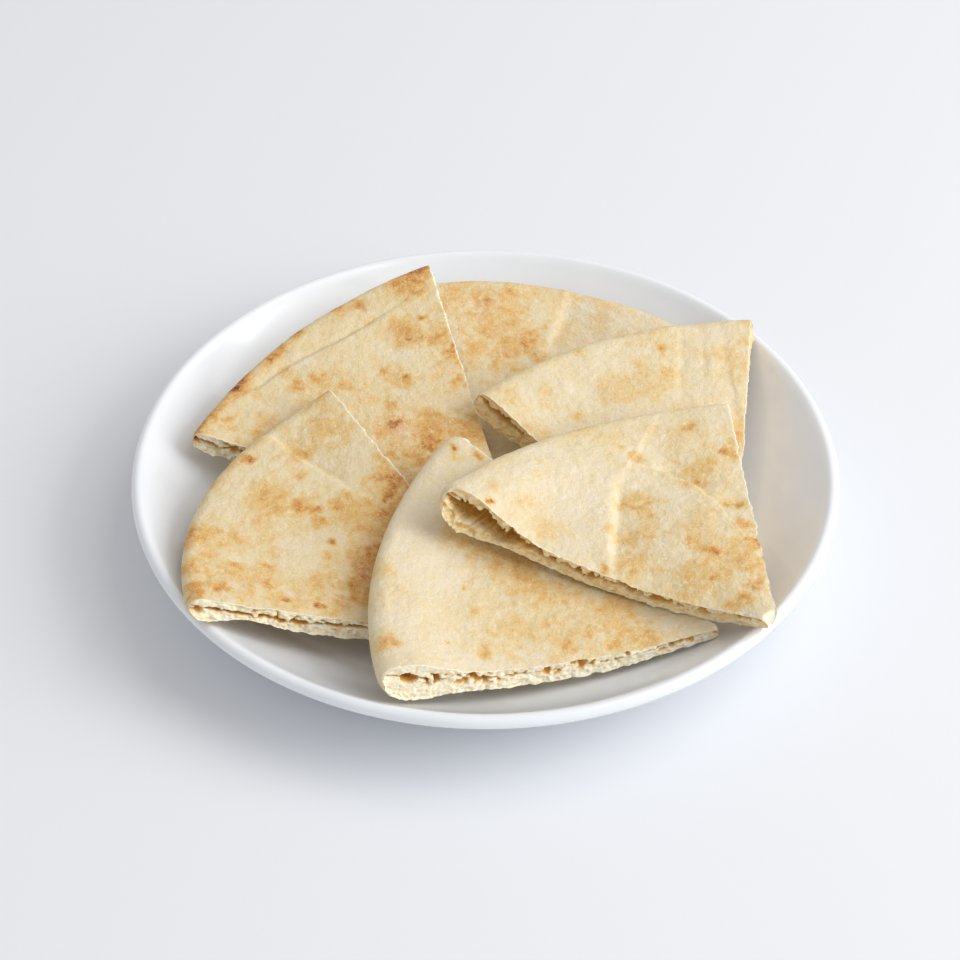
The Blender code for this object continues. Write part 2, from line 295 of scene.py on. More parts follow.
WEDGE_PLANS = (
    WedgePlan(
        "pita_wedge_back", tip=(3, -7), heading=82, spread=62, tip_height=10,
        rim_heights=(26, 24, 21), sags=(-1, -1, -2), length=95,
        seed=11, browning=0.28, rim_browning=0.15,
        toasts_and_shadows=(
            ToastAndShadow(0.88, 0.33, 3.5, 0.62), ToastAndShadow(0.80, 0.41, 3.5, 0.45), ToastAndShadow(0.72, 0.52, 4.5, 0.55),
            ToastAndShadow(0.68, 0.57, 3.5, 0.5), ToastAndShadow(0.84, 0.27, 2.5, 0.45), ToastAndShadow(0.93, 0.42, 4.0, 0.4),
            ToastAndShadow(0.85, 0.36, 12.0, 0.42), ToastAndShadow(0.72, 0.42, 12.0, 0.46), ToastAndShadow(0.62, 0.35, 4.0, 0.35),
            ToastAndShadow(0.75, 0.33, 3.0, 0.4), ToastAndShadow(0.70, 0.26, 4.0, 0.4), ToastAndShadow(0.87, 0.46, 8.0, 0.3),
        ),
        flours=(
            Flour(0.86, 0.30, 4.0, 0.5), Flour(0.88, 0.76, 12.0, 0.65), Flour(0.90, 0.63, 3.0, 0.6),
            Flour(0.80, 0.63, 3.0, 0.6), Flour(0.72, 0.62, 3.0, 0.5),
        ),
        creases=(Crease(((1.0, 0.61), (0.85, 0.62), (0.66, 0.59)), -1.5, 8.0, 0.0),),
    ),
    WedgePlan(
        "pita_wedge_back_left", tip=(8, -12), heading=136, spread=63, tip_height=16,
        rim_heights=(25, 30, 36), sags=(-3, 0, 0), rim_bulge=10, length=98, skew=1,
        seed=23, browning=0.45, rim_browning=0.4,
        toasts_and_shadows=(
            ToastAndShadow(0.49, 0.46, 2.6, 0.72), ToastAndShadow(0.475, 0.43, 1.8, 0.5), ToastAndShadow(0.48, 0.44, 5.0, 0.45),
            ToastAndShadow(0.51, 0.43, 3.5, 0.4), ToastAndShadow(0.32, 0.58, 7.0, 0.5),
            ToastAndShadow(0.60, 0.69, 1.8, 0.7), ToastAndShadow(0.585, 0.67, 3.0, 0.5), ToastAndShadow(0.79, 0.90, 1.6, 0.8),
            ToastAndShadow(0.66, 0.64, 3.0, 0.5), ToastAndShadow(0.74, 0.81, 1.8, 0.65), ToastAndShadow(0.54, 0.52, 3.0, 0.55),
            ToastAndShadow(0.50, 0.36, 3.0, 0.55), ToastAndShadow(0.37, 0.50, 5.0, 0.6), ToastAndShadow(0.42, 0.27, 3.0, 0.5),
            ToastAndShadow(0.83, 0.35, 3.5, 0.55), ToastAndShadow(0.80, 0.41, 3.0, 0.5), ToastAndShadow(0.98, 0.38, 3.4, 0.66),
            ToastAndShadow(0.985, 0.50, 3.2, 0.6), ToastAndShadow(0.985, 0.29, 3.0, 0.3), ToastAndShadow(0.98, 0.66, 3.4, 0.55),
            ToastAndShadow(0.955, 0.72, 3.0, 0.55), ToastAndShadow(0.94, 0.93, 2.6, 0.6), ToastAndShadow(0.97, 0.17, 2.6, 0.3),
            ToastAndShadow(0.93, 0.10, 2.8, 0.5), ToastAndShadow(0.62, 0.96, 3.5, 0.6), ToastAndShadow(0.70, 0.93, 4.0, 0.5),
            ToastAndShadow(0.50, 0.92, 3.0, 0.5), ToastAndShadow(0.97, 0.44, 3.0, 0.6), ToastAndShadow(0.72, 0.45, 3.5, 0.42),
        ),
        flours=(
            Flour(0.88, 0.45, 3.5, 0.75), Flour(0.74, 0.72, 5.0, 0.5), Flour(0.44, 0.42, 3.5, 0.7),
            Flour(0.68, 0.76, 4.0, 0.5), Flour(0.84, 0.60, 3.5, 0.35), Flour(0.92, 0.74, 3.5, 0.35),
            Flour(0.80, 0.15, 4.0, 0.3), Flour(0.55, 0.62, 3.0, 0.35),
        ),
        creases=(Crease(((0.955, 0.18), (0.905, 0.40), (0.87, 0.56), (0.865, 0.74), (0.88, 0.86)),
                        -1.1, 6.0, 0.45, 0.8),),
        gapes=(Gape(Side.LEFT, 0.93, 0.05, 1.6, 5.0),),
    ),
    WedgePlan(
        "pita_wedge_front_left", tip=(16, -62), heading=155, spread=59, tip_height=11,
        rim_heights=(32, 26, 33), sags=(-2, 1, 1), rim_bulge=19, length=102, skew=-4,
        seed=37, pocket_gap=0.5, browning=0.36, rim_browning=0.25,
        toasts_and_shadows=(
            ToastAndShadow(0.98, 0.06, 4.5, 0.6), ToastAndShadow(0.98, 0.16, 4.0, 0.55), ToastAndShadow(0.90, 0.09, 3.5, 0.6),
            ToastAndShadow(0.85, 0.21, 3.5, 0.55), ToastAndShadow(0.76, 0.16, 3.0, 0.6), ToastAndShadow(0.77, 0.24, 3.0, 0.5),
            ToastAndShadow(0.93, 0.23, 4.0, 0.45), ToastAndShadow(0.73, 0.09, 2.6, 0.65), ToastAndShadow(0.62, 0.10, 2.2, 0.75),
            ToastAndShadow(0.955, 0.67, 1.8, 0.75), ToastAndShadow(0.85, 0.57, 2.0, 0.45), ToastAndShadow(0.82, 0.70, 3.2, 0.45),
            ToastAndShadow(0.75, 0.60, 4.0, 0.55), ToastAndShadow(0.71, 0.62, 2.2, 0.7), ToastAndShadow(0.68, 0.57, 3.2, 0.55),
            ToastAndShadow(0.68, 0.69, 3.0, 0.5), ToastAndShadow(0.615, 0.49, 1.4, 0.7), ToastAndShadow(0.61, 0.40, 2.0, 0.5),
            # Painted shadow: the broad patches near u 0.5 to 0.64 on this line and the next four are partly
            # browning and partly the shadow that the front wedge's rim casts here.
            ToastAndShadow(0.52, 0.30, 6.0, 0.55), ToastAndShadow(0.50, 0.55, 6.0, 0.55), ToastAndShadow(0.55, 0.85, 4.0, 0.4),
            ToastAndShadow(0.56, 0.12, 3.0, 0.6), ToastAndShadow(0.60, 0.97, 1.6, 0.65), ToastAndShadow(0.48, 0.45, 8.0, 0.58),
            ToastAndShadow(0.62, 0.95, 7.0, 0.7), ToastAndShadow(0.64, 0.88, 6.0, 0.35), ToastAndShadow(0.57, 0.70, 10.0, 0.3),
            ToastAndShadow(0.52, 0.40, 9.0, 0.3),
            ToastAndShadow(0.56, 0.80, 8.0, 0.5), ToastAndShadow(0.50, 0.62, 8.0, 0.6), ToastAndShadow(0.50, 0.26, 7.5, 0.5),
            # Partly browning and partly painted shade: this broad patch darkens the crust beyond the crease,
            # at v above 0.8, so that the crease shows.
            ToastAndShadow(0.90, 0.92, 9.0, 0.32),
            ToastAndShadow(0.90, 0.12, 8.0, 0.42), ToastAndShadow(0.80, 0.15, 8.0, 0.4), ToastAndShadow(0.70, 0.12, 8.0, 0.38),
            ToastAndShadow(0.97, 0.30, 6.0, 0.4), ToastAndShadow(0.62, 0.22, 7.0, 0.35),
        ),
        flours=(
            Flour(0.87, 0.70, 4.0, 0.35), Flour(0.77, 0.93, 1.5, 0.9), Flour(0.85, 0.12, 2.5, 0.8),
            Flour(0.72, 0.36, 5.0, 0.35), Flour(0.83, 0.40, 6.0, 0.3), Flour(0.68, 0.14, 3.0, 0.6),
        ),
        creases=(Crease(((1.0, 0.775), (0.90, 0.785), (0.80, 0.79), (0.68, 0.80)), -2.4, 10.0, 1.1, 1.0),),
        gapes=(Gape(Side.LEFT, 0.93, 0.035, 1.0, 4.0), Gape(Side.LEFT, 0.58, 0.16, 1.2, 5.0)),
        pinches=(Pinch(Side.LEFT, 0.83, 0.10, 0.8),),
    ),
    WedgePlan(
        "pita_wedge_front", tip=(66, -67), heading=167, spread=60.5, tip_height=20.8,
        rim_heights=(31, 30, 35), sags=(-7.3, -4.4, -3.3), length=100.5, skew=-2,
        puff=0.4, left_puff=2.4, right_puff=0.8, tip_puff=-1.2, left_round=3.5, right_round=7.0,
        seed=41, pores=0.25, crumb_warm_shade=0.0, browning=0.14, rim_browning=0.05,
        toasts_and_shadows=(
            ToastAndShadow(0.955, 0.94, 1.7, 0.85), ToastAndShadow(0.95, 0.93, 3.5, 0.35), ToastAndShadow(0.89, 0.97, 1.6, 0.6),
            ToastAndShadow(0.97, 0.13, 4.0, 0.5), ToastAndShadow(0.985, 0.42, 4.0, 0.35), ToastAndShadow(0.79, 0.15, 0.8, 0.65),
            ToastAndShadow(0.68, 0.12, 3.0, 0.45), ToastAndShadow(0.67, 0.22, 2.4, 0.4), ToastAndShadow(0.70, 0.33, 2.5, 0.35),
            ToastAndShadow(0.45, 0.15, 3.5, 0.5), ToastAndShadow(0.50, 0.32, 3.0, 0.4), ToastAndShadow(0.62, 0.47, 3.0, 0.35),
            ToastAndShadow(0.38, 0.28, 3.5, 0.45), ToastAndShadow(0.30, 0.20, 4.0, 0.5), ToastAndShadow(0.55, 0.20, 4.0, 0.35),
            ToastAndShadow(0.22, 0.30, 3.5, 0.55), ToastAndShadow(0.34, 0.48, 3.0, 0.4), ToastAndShadow(0.60, 0.66, 5.0, 0.5),
            # Painted shadow: the last two patches on this line and the three on the next are the warm shadow
            # that the right-top wedge's left end casts here.
            ToastAndShadow(0.74, 0.44, 1.2, 0.5), ToastAndShadow(0.78, 0.64, 6.0, 0.35), ToastAndShadow(0.68, 0.62, 8.0, 0.42),
            ToastAndShadow(0.57, 0.60, 9.0, 0.42), ToastAndShadow(0.44, 0.55, 9.0, 0.36), ToastAndShadow(0.30, 0.50, 9.0, 0.36),
            ToastAndShadow(0.60, 0.25, 12.0, 0.27), ToastAndShadow(0.45, 0.25, 12.0, 0.3), ToastAndShadow(0.25, 0.25, 9.0, 0.4),
        ),
        flours=(
            Flour(0.93, 0.30, 9.0, 0.3), Flour(0.86, 0.10, 8.0, 0.35), Flour(0.95, 0.68, 8.0, 0.35),
            Flour(0.85, 0.45, 9.0, 0.2), Flour(0.42, 0.40, 3.0, 0.35), Flour(0.58, 0.38, 3.0, 0.3),
        ),
        creases=(
            Crease(((1.0, 0.545), (0.95, 0.55)), 0.9, 4.0, 0.1, 0.8),
            Crease(((0.80, 0.02), (0.74, 0.20), (0.72, 0.42)), -0.35, 7.0, 0.0, 2.5),
        ),
        gapes=(Gape(Side.LEFT, 0.92, 0.028, 3.0, 6.0), Gape(Side.LEFT, 0.85, 0.022, 2.4, 5.0)),
    ),
    WedgePlan(
        "pita_wedge_back_right", tip=(73, -38), heading=113, spread=60, tip_height=16,
        rim_heights=(33, 32, 31), sags=(-6, -1, -2), rim_bulge=9, skew=-1, left_puff=1.6,
        seed=53, crumb_warm_shade=0.9, browning=0.26, rim_browning=0.08,
        toasts_and_shadows=(
            ToastAndShadow(0.89, 0.67, 2.0, 0.6), ToastAndShadow(0.85, 0.57, 4.0, 0.3), ToastAndShadow(0.80, 0.66, 4.0, 0.32),
            ToastAndShadow(0.64, 0.05, 3.0, 0.35), ToastAndShadow(0.62, 0.82, 3.0, 0.35), ToastAndShadow(0.97, 0.40, 3.0, 0.3),
            ToastAndShadow(0.75, 0.22, 3.0, 0.3), ToastAndShadow(0.90, 0.20, 3.0, 0.25), ToastAndShadow(0.53, 0.92, 4.0, 0.4),
        ),
        flours=(Flour(0.90, 0.50, 9.0, 0.25), Flour(0.80, 0.85, 6.0, 0.3), Flour(0.75, 0.40, 7.0, 0.2)),
        creases=(
            Crease(((1.0, 0.76), (0.88, 0.735), (0.70, 0.68)), -0.7, 5.0, 0.1, 1.2),
            Crease(((0.70, 0.80), (0.85, 0.82), (1.0, 0.84)), -0.5, 4.0, 0.1, 1.2),
            Crease(((0.50, 0.965), (0.68, 0.93), (0.95, 0.90)), -0.6, 4.0, 0.0, 1.0),
            Crease(((0.93, 0.64), (0.86, 0.62)), 0.35, 2.5, 0.1, 0.8),
        ),
        gapes=(Gape(Side.LEFT, 0.90, 0.08, 3.2, 9.0),),
    ),
    WedgePlan(
        "pita_wedge_right_top", tip=(81, -74), heading=126, spread=64, tip_height=31,
        rim_heights=(45, 35, 31), sags=(-10, -1, 0), rim_bulge=11, length=98, skew=5,
        left_puff=3.2, right_puff=0.3, tip_puff=0.4, left_round=6.0,
        seed=67, pocket_gap=1.5, pores=1.0, crumb_warm_shade=0.55, tip_start=0.045,
        browning=0.22, rim_browning=0.1,
        toasts_and_shadows=(
            ToastAndShadow(0.88, 0.04, 1.6, 0.75), ToastAndShadow(0.40, 0.52, 3.0, 0.5), ToastAndShadow(0.335, 0.57, 2.6, 0.8),
            ToastAndShadow(0.35, 0.53, 3.0, 0.55), ToastAndShadow(0.33, 0.93, 4.0, 0.7), ToastAndShadow(0.75, 0.95, 3.5, 0.6),
            ToastAndShadow(0.72, 0.88, 2.5, 0.45), ToastAndShadow(0.89, 0.85, 3.0, 0.5), ToastAndShadow(0.80, 0.63, 3.5, 0.4),
            ToastAndShadow(0.64, 0.81, 3.5, 0.5), ToastAndShadow(0.525, 0.86, 2.2, 0.55), ToastAndShadow(0.515, 0.92, 2.2, 0.6),
            ToastAndShadow(0.25, 0.38, 3.0, 0.5), ToastAndShadow(0.14, 0.20, 2.5, 0.5), ToastAndShadow(0.52, 0.06, 1.8, 0.55),
            ToastAndShadow(0.86, 0.60, 1.5, 0.4), ToastAndShadow(0.60, 0.27, 2.0, 0.4), ToastAndShadow(0.28, 0.75, 3.0, 0.5),
            ToastAndShadow(0.16, 0.80, 3.0, 0.6), ToastAndShadow(0.44, 0.10, 2.0, 0.45), ToastAndShadow(0.42, 0.88, 3.0, 0.45),
            ToastAndShadow(0.12, 0.45, 2.5, 0.5), ToastAndShadow(0.92, 0.12, 3.0, 0.3), ToastAndShadow(0.63, 0.47, 6.0, 0.42),
            ToastAndShadow(0.54, 0.33, 6.0, 0.42), ToastAndShadow(0.46, 0.16, 6.0, 0.4), ToastAndShadow(0.30, 0.70, 14.0, 0.36),
            ToastAndShadow(0.30, 0.35, 12.0, 0.34), ToastAndShadow(0.70, 0.82, 9.0, 0.34), ToastAndShadow(0.45, 0.62, 9.0, 0.3),
        ),
        flours=(
            Flour(0.45, 0.37, 4.0, 0.75), Flour(0.38, 0.36, 3.5, 0.8), Flour(0.50, 0.25, 4.0, 0.3),
            Flour(0.70, 0.52, 3.0, 0.6), Flour(0.88, 0.93, 3.5, 0.7), Flour(0.85, 0.73, 3.5, 0.6),
            Flour(0.78, 0.70, 3.0, 0.5), Flour(0.43, 0.62, 3.0, 0.5), Flour(0.72, 0.28, 10.0, 0.55),
            Flour(0.82, 0.30, 9.0, 0.5), Flour(0.88, 0.70, 9.0, 0.45),
            Flour(0.18, 0.70, 2.5, 0.5), Flour(0.57, 0.72, 3.5, 0.45),
        ),
        creases=(
            Crease(((0.76, 0.55), (0.71, 0.46), (0.61, 0.33), (0.54, 0.18), (0.48, 0.04)),
                   -2.4, 14.0, 0.45, 1.4),
            Crease(((0.76, 0.64), (0.72, 0.70), (0.63, 0.78), (0.55, 0.80)), -2.4, 9.0, 0.7, 1.0),
            Crease(((0.55, 0.80), (0.525, 0.87), (0.52, 0.97)), -0.8, 4.0, 0.3, 0.9),
        ),
        gapes=(
            Gape(Side.LEFT, 0.86, 0.12, 7.5, 16.0), Gape(Side.LEFT, 0.66, 0.10, 2.0, 8.0),
            Gape(Side.LEFT, 0.38, 0.22, 1.5, 5.0), Gape(Side.LEFT, 0.14, 0.10, 1.4, 4.0),
        ),
        pinches=(Pinch(Side.LEFT, 0.15, 0.14, -0.3),),
    ),
)


# ------------------------------------------------------------------ meshes

def make_mesh(name: str, points: np.ndarray, faces: np.ndarray) -> bpy.types.Mesh:
    """A mesh from whole arrays.

    Args:
        name: name of the mesh.
        points: positions in metres, one row each.
        faces: corner numbers, four to a row; a triangle repeats its last corner.

    Returns:
        The mesh, with doubled corners left out of its faces.
    """
    mesh = bpy.data.meshes.new(name)
    repeated = faces[:, 3] == faces[:, 2]
    sizes = np.where(repeated, 3, 4)
    keep = np.ones(faces.shape, dtype=bool)
    keep[repeated, 3] = False
    corners = faces[keep]
    mesh.vertices.add(len(points))
    mesh.vertices.foreach_set("co", points.astype(np.float32).ravel())
    mesh.loops.add(len(corners))
    mesh.loops.foreach_set("vertex_index", corners.astype(np.int32))
    mesh.polygons.add(len(faces))
    starts = np.concatenate(([0], np.cumsum(sizes)[:-1]))
    mesh.polygons.foreach_set("loop_start", starts.astype(np.int32))
    mesh.update(calc_edges=True)
    mesh.validate()
    mesh.shade_smooth()
    return mesh


def add_piece(mesh: bpy.types.Mesh, material: bpy.types.Material, node: str) -> bpy.types.Object:
    """Put a piece in the scene, on its body, in place of its solid.

    Args:
        mesh: the finished mesh, in metres in the row frame.
        material: its finish.
        node: the solid that it stands for.

    Returns:
        The object.
    """
    mesh.materials.append(material)
    piece = bpy.data.objects.new(mesh.name, mesh)
    bpy.context.scene.collection.objects.link(piece)
    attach(piece, BODY)
    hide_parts(node)
    LOG.info("%s: %d faces", piece.name, len(mesh.polygons))
    return piece


def paint(mesh: bpy.types.Mesh, name: str, values: np.ndarray) -> None:
    """Store one number for each point of a mesh, for its material to read."""
    layer = mesh.attributes.new(name, "FLOAT", "POINT")
    layer.data.foreach_set("value", np.clip(values, 0.0, 1.0).astype(np.float32))


# ------------------------------------------------------------------ pita

@dataclass
class PitaWedge:
    """One sector of a baked pocket pita, as a single closed surface."""

    plan: WedgePlan
    length: float = 97.0
    layer: float = 2.6
    spread: float = 1.8
    puff_centre: float = 0.89
    puff_width: float = 0.10
    tip_round: float = 0.012
    length_steps: int = 260
    round_steps: int = 8
    tip_steps: int = 3
    across_steps: int = 128
    cut_steps: int = 40
    slant: float = 0.9
    ragged: float = 0.35
    wave_height: float = 0.45
    blister_height: float = 0.2
    bottom_inset: float = 0.25
    calm_tip: float = 0.12
    crumb_edge: float = 0.55
    pocket_line: float = 0.34
    furthest_shift: float = 0.5
    noise: Noise = field(init=False)

    def __post_init__(self) -> None:
        """Each wedge has its own irregularity."""
        self.noise = Noise(self.plan.seed)

    # ---- the smooth body

    @staticmethod
    def through(stations: tuple[float, ...], values: tuple, t: np.ndarray) -> np.ndarray:
        """The one polynomial that passes through each value at its station."""
        total = np.zeros(np.shape(t))
        for i, value in enumerate(values):
            weight = np.ones(np.shape(t))
            for j, station in enumerate(stations):
                if j != i:
                    weight = weight * (t - station) / (stations[i] - station)
            total = total + weight * value
        return total

    def cut_corner(self, side: Side) -> np.ndarray:
        """Plan position of the corner where a cut side meets the rim."""
        plan = self.plan
        sign = 1 if side is Side.LEFT else -1
        turn = math.radians(plan.heading + sign * plan.spread / 2)
        reach = plan.length + sign * plan.skew
        return np.array(plan.tip) + reach * np.array((math.cos(turn), math.sin(turn)))

    def corner_pull(self, u: np.ndarray, v: np.ndarray) -> np.ndarray:
        """Share of its length that is left where a corner is rounded off.

        Within a radius of a cut side the rim follows a quarter circle, and further in along u the
        effect dies away as a high power.
        """
        plan = self.plan
        pull = np.zeros(np.broadcast(u, v).shape)
        for share, radius in ((v, plan.left_round), (1 - v, plan.right_round)):
            near = np.clip(1 - share * plan.length / radius, 0.0, 1.0)
            pull = pull + radius / plan.length * (1 - np.sqrt(1 - near ** 2))
        return 1 - pull * np.clip(u, 0.0, 1.0) ** 14

    def middle(self, u: np.ndarray, v: np.ndarray) -> np.ndarray:
        """Point halfway through the thickness.

        In plan, the rim is the chord between the corners pushed out by a parabola, and a point lies
        the share u of the way from the tip to the rim.  Its height passes through three climbing
        lines, each with a parabolic sag along u, joined by a parabola across v.
        """
        plan = self.plan
        left = self.cut_corner(Side.LEFT)
        chord = self.cut_corner(Side.RIGHT) - left
        outward = np.array((-chord[1], chord[0])) / np.hypot(*chord)
        arch = plan.rim_bulge * 4 * v * (1 - v)
        rim = left + chord * v[..., None] + outward * arch[..., None]
        tip = np.array(plan.tip, dtype=float)
        flat = tip + (rim - tip) * (u * self.corner_pull(u, v))[..., None]
        climbs = tuple(
            plan.tip_height + (rim_height - plan.tip_height) * u + sag * 4 * u * (1 - u)
            for rim_height, sag in zip(plan.rim_heights, plan.sags)
        )
        height = self.through((0.0, 0.5, 1.0), climbs, v)
        return np.concatenate((flat, height[..., None]), axis=-1)

    def upward(self, u: np.ndarray, v: np.ndarray) -> np.ndarray:
        """Unit normal of the middle surface on its upper side, from its slopes along u and v."""
        step = 0.001
        u = np.maximum(u, 0.02)
        along = self.middle(u + step, v) - self.middle(u - step, v)
        across = self.middle(u, v + step) - self.middle(u, v - step)
        normal = np.cross(across, along)
        normal = normal / np.linalg.norm(normal, axis=-1)[..., None]
        return normal * np.sign(normal[..., 2:3])

    def half_thickness(self, u: np.ndarray, v: np.ndarray) -> np.ndarray:
        """Half the wedge's thickness: even, and puffed just inside the rim and at the tip's left."""
        plan = self.plan
        puff = plan.puff + plan.left_puff * (1 - v) ** 3 + plan.right_puff * v ** 3
        swell = np.exp(-((u - self.puff_centre) / self.puff_width) ** 2)
        at_tip = plan.tip_puff * (1 - v) * np.exp(-((u - 0.05) / 0.18) ** 2)
        return self.spread + self.layer / 2 + puff * swell + at_tip

    def pinched(self, u: np.ndarray, v: np.ndarray) -> np.ndarray:
        """Share of the lower half that pinches take away: a bell curve along a side, gone inside."""
        total = np.zeros(np.broadcast(u, v).shape)
        for pinch in self.plan.pinches:
            near = (1 - v) if pinch.side is Side.LEFT else v
            total = total + pinch.share * np.exp(-((u - pinch.u) / pinch.half_length) ** 2) * near ** 5
        return np.minimum(total, 0.9)

    def inside(self, u: np.ndarray, v: np.ndarray, w: np.ndarray) -> np.ndarray:
        """The point with the coordinates u, v, w."""
        lift = self.half_thickness(u, v) * w * np.where(w < 0, 1 - self.pinched(u, v), 1.0)
        return self.middle(u, v) + self.upward(u, v) * lift[..., None]

    def width_at(self, u: np.ndarray) -> np.ndarray:
        """Distance between the two cut sides, in millimetres."""
        return np.maximum(u * 100.0, 4.0)

    # ---- irregular cut sides and crust

    def gape_shape(self, u: np.ndarray, side: Side) -> tuple[np.ndarray, np.ndarray]:
        """How far the pocket stands open along a cut side, and how deep one can see into it.

        A thin dark line of pocket runs the whole way, wider and narrower by noise, and each gape
        adds a lens shape: one minus the square of the distance from its centre.

        Returns:
            The gap and the depth, in millimetres.
        """
        along = np.stack((u * self.length, np.full_like(u, 40.0 * side.value), np.zeros_like(u)), axis=-1)
        wander = self.noise.grain(Grain.POCKET_GAP, along)
        gap = self.plan.pocket_gap * (1 + 1.2 * wander)
        depth = 2.4 + 1.2 * wander
        for gape in self.plan.gapes:
            if gape.side is side:
                lens = np.clip(1 - ((u - gape.u) / gape.half_length) ** 2, 0.0, 1.0) ** 0.7
                gap = np.maximum(gap, gape.gap * lens * (1 + 0.25 * wander))
                depth = np.maximum(depth, gape.depth * lens)
        return np.maximum(gap, 0.0), np.maximum(depth, 0.5)

    def cut_depth(self, u: np.ndarray, v: np.ndarray, w: np.ndarray, outline: np.ndarray,
                  side: Side) -> dict[str, np.ndarray]:
        """How far the cut side lies inside the clean cut, in millimetres.

        The knife leaves a slight slant and a ragged edge.  Between the outlines, the pocket is a
        groove with a clean bed and a ceiling hung with shreds.  Bubbles break into it within about a
        millimetre of its line, and the crumb everywhere has fine pits and a few deeper pores.

        Args:
            u: place along the side.
            v: 0 or 1, the clean cut.
            w: place across the thickness.
            outline: 0 on the crusts, 1 halfway between them.
            side: which cut side this is.

        Returns:
            "total", and the two paints "pocket" and "pit".
        """
        place = self.inside(u, v, w)
        tear = self.noise.grain(Grain.TEAR, place)
        fray = self.noise.grain(Grain.FRAY, place)
        total = self.slant * (w + 1) / 2 + self.ragged * (1.1 + tear + 0.35 * fray)
        half = self.half_thickness(u, v)
        gap, depth = self.gape_shape(u, side)
        line = self.pocket_line * (1 - np.clip(gap / (1.6 * half), 0, 1))
        line = line + 0.14 * self.noise.grain(Grain.POCKET_LINE, place)
        above = (w - line) * half
        fringe = np.clip(self.noise.grain(Grain.SHREDS, place * (1.0, 1.0, 0.45)) + 0.15, 0.0, 1.0)
        ceiling = gap / 2 - 1.6 * fringe * np.clip(gap / 1.4, 0.3, 2.0)
        bed = -gap / 2 + 0.22 * self.noise.grain(Grain.POCKET_BED, place)
        slit = ease_between(-0.15, 0.3, ceiling - above) * ease_between(-0.15, 0.3, above - bed)
        bubble = 0.65 * self.noise.grain(Grain.BUBBLES, place)
        bubble = bubble + 0.35 * self.noise.grain(Grain.SMALL_BUBBLES, place)
        cavity = ease_between(0.16, 0.34, bubble) * np.exp(-(above / 1.25) ** 2)
        open_share = np.maximum(slit, cavity * 0.9)
        rough = self.noise.grain(Grain.ROUGH_CRUMB, place)
        pits = ease_between(0.1, 0.6, self.noise.grain(Grain.PITS, place))
        pores = self.plan.pores * ease_between(0.05, 0.45, self.noise.grain(Grain.PORES, place))
        window = ease_between(0.0, 0.30, outline)
        total = total + window * (
            open_share * (depth + 0.5 * rough) + 0.20 * (rough + 0.4) + 0.25 * pits + 0.6 * pores
        )
        return {
            "total": np.maximum(total, 0.0),
            "pocket": window * open_share,
            # The third paint is painted warm shade: golden in the pits and pores, plus the wedge's even tint
            # for shaded cut sides.
            "pit": np.minimum(window * np.maximum(0.45 * pits, pores) + self.plan.crumb_warm_shade, 1.0),
        }

    def edge_inset(self, u: np.ndarray, w: np.ndarray, side: Side) -> np.ndarray:
        """The same ragged edge where the crust meets the cut side, as a share of the width."""
        v = np.full_like(u, float(side.value))
        inset = self.cut_depth(u, v, w, np.zeros_like(u), side)["total"]
        return np.minimum(inset / self.width_at(u), 0.2)

    def crease_height(self, u: np.ndarray, v: np.ndarray) -> np.ndarray:
        """Height that the creases add to the top crust, in millimetres.

        For each crease: the nearest point of its path gives a distance and a side.  The higher side
        rises by an S curve over the width and sinks back over the reach, and the groove is a bell
        curve of the distance.  Both fade out past the ends of the path.
        """
        place = self.middle(u, v)[..., :2]
        total = np.zeros(u.shape)
        wobble = self.noise.grain(Grain.CREASE_WOBBLE, self.middle(u, v)) * 0.9
        for crease in self.plan.creases:
            knots = np.array(crease.path)
            path = self.middle(knots[:, 0], knots[:, 1])[:, :2]
            best = np.full(u.shape, 1e9)
            signed = np.zeros(u.shape)
            for start, end in zip(path[:-1], path[1:]):
                run = end - start
                share = np.clip(((place - start) @ run) / (run @ run), 0.0, 1.0)
                off = place - (start + share[..., None] * run)
                distance = np.hypot(off[..., 0], off[..., 1])
                turn = run[0] * off[..., 1] - run[1] * off[..., 0]
                nearer = distance < best
                best = np.where(nearer, distance, best)
                signed = np.where(nearer, np.sign(turn) * distance, signed)
            signed = signed + wobble * 0.5
            ends = np.minimum(
                np.linalg.norm(place - path[0], axis=-1), np.linalg.norm(place - path[-1], axis=-1)
            )
            length = np.linalg.norm(path[-1] - path[0])
            fade = ease_between(0.0, 0.35 * length, ends) * 0.7 + 0.3
            fade = fade * np.exp(-(np.maximum(best - np.abs(signed), 0.0) / 3.0) ** 2)
            rise = 1 / (1 + np.exp(-np.clip(signed / (crease.width * 0.4), -30, 30)))
            sink = np.exp(-np.maximum(signed, 0.0) / crease.reach)
            far = np.exp(-(best / (2.2 * crease.reach)) ** 2)
            total = total + fade * far * crease.step * rise * sink
            total = total - fade * crease.groove * np.exp(-(signed / crease.width) ** 2)
        return total

    def patch_paint(self, u: np.ndarray, v: np.ndarray, patches: tuple[Patch, ...]) -> np.ndarray:
        """The strongest of the soft patches at each point.

        Each falls off as a bell curve of the distance from its centre, which noise pulls about.
        """
        place = self.middle(u, v)
        kinds = (Grain.PATCH_EDGE_X, Grain.PATCH_EDGE_Y)
        warp = np.stack([self.noise.grain(kind, place) for kind in kinds], axis=-1)
        total = np.zeros(u.shape)
        for patch in patches:
            centre = self.middle(np.array(patch.u), np.array(patch.v))[:2]
            off = place[..., :2] - centre + warp * 0.75 * patch.size
            distance = np.hypot(off[..., 0], off[..., 1])
            total = np.maximum(total, patch.strength * np.exp(-(distance / patch.size) ** 2))
        return total

